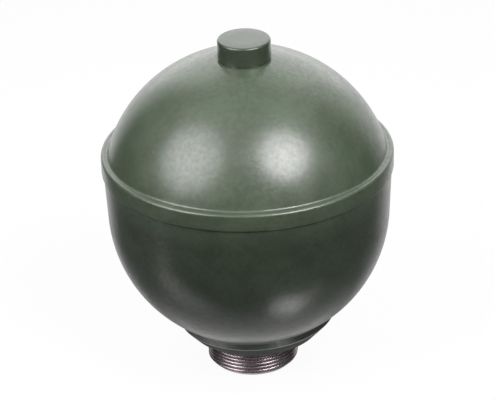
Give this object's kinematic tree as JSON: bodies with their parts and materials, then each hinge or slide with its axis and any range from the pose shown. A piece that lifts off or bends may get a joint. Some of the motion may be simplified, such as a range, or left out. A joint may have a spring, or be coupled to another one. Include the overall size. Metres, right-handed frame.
{
  "type": "diaphragm accumulator",
  "caption": "Painted steel sphere on a threaded neck, closed by a gas plug, with a rubber diaphragm inside that stores hydraulic fluid against a gas charge.",
  "frame": {"origin": "centre of the neck's end, on the axis of the sphere", "axes": "+Z along the axis of the sphere, from the neck up to the gas plug"},
  "size_m": [0.1102, 0.1102, 0.1351],
  "materials": {
    "paint": "satin gloss",
    "neck_steel": "turned, dark",
    "seal_metal": "soft",
    "rubber": "matt",
    "inner_steel": "turned"
  },
  "bodies": {
    "vessel": {"lower_shell": "paint", "upper_shell": "paint", "neck_fitting": "neck_steel", "filler_plug": "paint", "plug_seal": "seal_metal", "diaphragm": "rubber", "retaining_ring": "inner_steel"},
    "button": {"shutoff_button": "inner_steel"}
  },
  "joints": [
    {"name": "diaphragm_stroke", "type": "slide", "parent": "vessel", "child": "button", "axis": [0, 0, 1], "range_m": [0, 0.065], "stiffness_N_per_m": 100, "springref_m": -0.005, "deforming": ["diaphragm"]}
  ]
}
